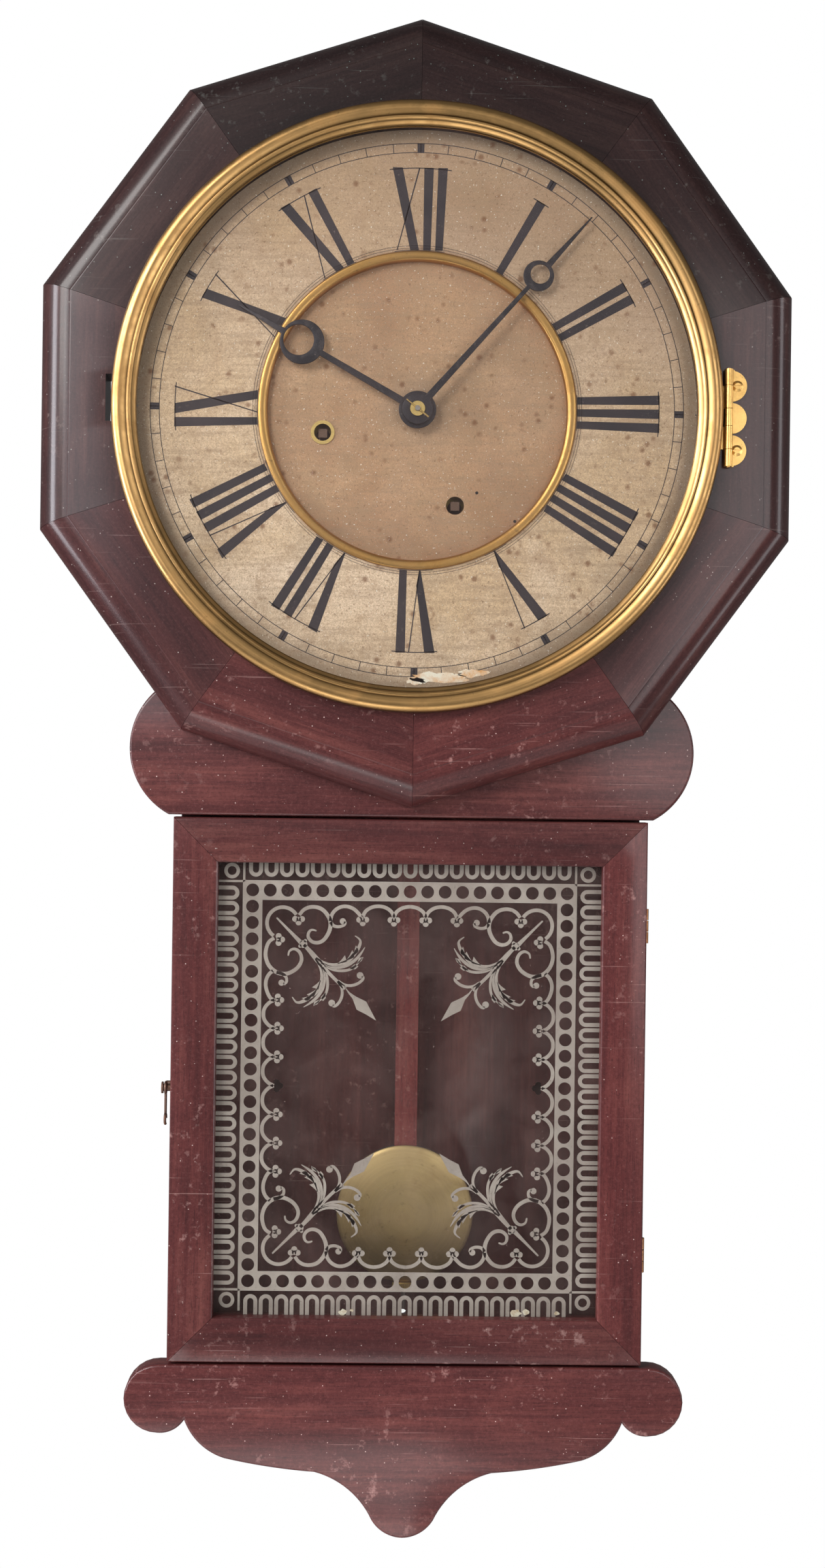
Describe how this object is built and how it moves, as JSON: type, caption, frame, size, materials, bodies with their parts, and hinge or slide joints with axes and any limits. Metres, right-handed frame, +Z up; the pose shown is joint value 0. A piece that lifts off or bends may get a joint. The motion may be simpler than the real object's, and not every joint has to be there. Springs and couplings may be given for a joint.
{
  "type": "pendulum wall clock",
  "caption": "Long-drop pendulum wall clock with a ten-sided wooden head, hinged glazed bezel and trunk door, winding movement and wooden-rod pendulum.",
  "frame": {"origin": "centre of the hanger hole on the back plane", "axes": "+Z up, +X to the right seen from the front, +Y into the wall"},
  "size_m": [0.4318, 0.1235, 0.8775],
  "materials": {
    "mahogany": "worn dark red varnish",
    "pine_backboard": "bare",
    "rod_wood": "varnished",
    "brass": "aged",
    "clear_glass": "clear",
    "dial_paper": "paper on sheet metal",
    "dial_centre_paper": "paper on sheet metal",
    "blackened_steel": "blued black",
    "steel": "dull",
    "cast_iron": "rough"
  },
  "bodies": {
    "case": {"backboard": "pine_backboard", "hanger_plate": "steel", "hanger_screws": "steel", "case_side_left": "mahogany", "case_side_right": "mahogany", "case_top": "mahogany", "case_bottom": "mahogany", "shoulder_board": "mahogany", "apron_board": "mahogany", "head_segments": "mahogany", "door_hinge_case_leaves": "brass", "hinge_pins": "brass", "case_hook_pin": "steel", "bezel_hinge_leaf": "brass", "bezel_hinge_screws": "brass", "dial_chapter_plate": "dial_paper", "dial_pins": "brass", "dial_centre_plate": "dial_centre_paper", "dial_centre_ring": "brass", "winding_grommet": "brass", "movement_back_plate": "brass", "movement_front_plate": "brass", "movement_pillars": "steel", "pillar_nuts": "brass", "mainsprings": "steel", "suspension_cock": "brass"},
    "door": {"door_stile_left": "mahogany", "door_stile_right": "mahogany", "door_rail_top": "mahogany", "door_rail_bottom": "mahogany", "door_glass": "clear_glass", "door_glass_beads": "pine_backboard", "door_hinge_door_leaves": "brass", "door_hook_screw": "steel"},
    "door_hook": {"door_hook": "steel"},
    "bezel": {"bezel_ring": "brass", "bezel_glass": "clear_glass", "bezel_retainer": "brass", "bezel_hinge_strap": "brass"},
    "minute_hand": {"minute_hand": "blackened_steel", "cannon_pinion": "brass", "hand_washer_and_pin": "brass"},
    "hour_hand": {"hour_hand": "blackened_steel", "hour_wheel": "brass"},
    "minute_wheel": {"minute_wheel": "brass"},
    "centre_wheel": {"centre_wheel": "brass"},
    "second_wheel": {"second_wheel": "brass"},
    "third_wheel": {"third_wheel": "brass"},
    "escape_wheel": {"escape_wheel": "brass"},
    "great_wheel_left": {"great_wheel_left": "brass"},
    "great_wheel_right": {"great_wheel_right": "brass"},
    "winding_arbor_left": {"winding_arbor_left": "steel"},
    "winding_arbor_right": {"winding_arbor_right": "steel"},
    "verge": {"verge_and_crutch": "steel"},
    "pendulum": {"suspension_spring": "steel", "pendulum_rod": "rod_wood", "rating_screw": "steel"},
    "bob": {"bob_shell": "brass", "bob_weight": "cast_iron"},
    "rating_nut": {"rating_nut": "brass"}
  },
  "joints": [
    {"name": "door_hinge", "type": "hinge", "parent": "case", "child": "door", "pos_m": [0.138, -0.0752, -0.52175], "axis": [0, 0, 1], "range_deg": [0, 110]},
    {"name": "door_hook_turn", "type": "hinge", "parent": "door", "child": "door_hook", "pos_m": [-0.1407, -0.083, -0.52175], "axis": [1, 0, 0], "range_deg": [0, 65]},
    {"name": "bezel_hinge", "type": "hinge", "parent": "case", "child": "bezel", "pos_m": [0.1765, -0.1156, -0.133], "axis": [0, 0, 1], "range_deg": [0, 110]},
    {"name": "minute_hand_turn", "type": "hinge", "parent": "case", "child": "minute_hand", "pos_m": [0, -0.075, -0.13], "axis": [0, 1, 0], "continuous": true},
    {"name": "hour_hand_turn", "type": "hinge", "parent": "case", "child": "hour_hand", "pos_m": [0, -0.075, -0.13], "axis": [0, 1, 0], "continuous": true},
    {"name": "minute_wheel_turn", "type": "hinge", "parent": "case", "child": "minute_wheel", "pos_m": [-0.01871, -0.075, -0.1408], "axis": [0, 1, 0], "continuous": true},
    {"name": "centre_wheel_turn", "type": "hinge", "parent": "case", "child": "centre_wheel", "pos_m": [0, -0.075, -0.13], "axis": [0, 1, 0], "continuous": true},
    {"name": "second_wheel_turn", "type": "hinge", "parent": "case", "child": "second_wheel", "pos_m": [-0.0136, -0.075, -0.15896], "axis": [0, 1, 0], "continuous": true},
    {"name": "third_wheel_turn", "type": "hinge", "parent": "case", "child": "third_wheel", "pos_m": [0.02555, -0.075, -0.1128], "axis": [0, 1, 0], "continuous": true},
    {"name": "escape_wheel_turn", "type": "hinge", "parent": "case", "child": "escape_wheel", "pos_m": [0, -0.075, -0.108], "axis": [0, 1, 0], "continuous": true},
    {"name": "great_wheel_left_turn", "type": "hinge", "parent": "case", "child": "great_wheel_left", "pos_m": [-0.054, -0.075, -0.1428], "axis": [0, 1, 0], "continuous": true},
    {"name": "great_wheel_right_turn", "type": "hinge", "parent": "case", "child": "great_wheel_right", "pos_m": [0.0223, -0.075, -0.1835], "axis": [0, 1, 0], "continuous": true},
    {"name": "left_winding", "type": "hinge", "parent": "great_wheel_left", "child": "winding_arbor_left", "pos_m": [-0.054, -0.075, -0.1428], "axis": [0, 1, 0], "continuous": true},
    {"name": "right_winding", "type": "hinge", "parent": "great_wheel_right", "child": "winding_arbor_right", "pos_m": [0.0223, -0.075, -0.1835], "axis": [0, 1, 0], "continuous": true},
    {"name": "pendulum_swing", "type": "hinge", "parent": "case", "child": "pendulum", "pos_m": [0, -0.028, -0.0854], "axis": [0, 1, 0], "range_deg": [-4, 4]},
    {"name": "verge_rock", "type": "hinge", "parent": "case", "child": "verge", "pos_m": [0, -0.06, -0.0854], "axis": [0, 1, 0], "range_deg": [-4, 4]},
    {"name": "bob_rating", "type": "slide", "parent": "pendulum", "child": "bob", "axis": [0, 0, 1], "range_m": [-0.0024, 0.0024]},
    {"name": "rating_nut_turn", "type": "hinge", "parent": "bob", "child": "rating_nut", "pos_m": [0, -0.028, -0.65], "axis": [0, 0, 1], "range_deg": [-1080, 1080]}
  ],
  "couplings": [
    {"joint": "hour_hand_turn", "follows": "minute_hand_turn", "ratio": 0.083333},
    {"joint": "minute_wheel_turn", "follows": "minute_hand_turn", "ratio": -0.33333},
    {"joint": "centre_wheel_turn", "follows": "minute_hand_turn", "ratio": 1},
    {"joint": "second_wheel_turn", "follows": "minute_hand_turn", "ratio": -0.11111},
    {"joint": "great_wheel_left_turn", "follows": "minute_hand_turn", "ratio": 0.011111},
    {"joint": "great_wheel_right_turn", "follows": "minute_hand_turn", "ratio": 0.011111},
    {"joint": "third_wheel_turn", "follows": "minute_hand_turn", "ratio": -10},
    {"joint": "escape_wheel_turn", "follows": "minute_hand_turn", "ratio": 90},
    {"joint": "verge_rock", "follows": "pendulum_swing", "ratio": 1},
    {"joint": "rating_nut_turn", "follows": "bob_rating", "rad_per_m": 7854}
  ]
}
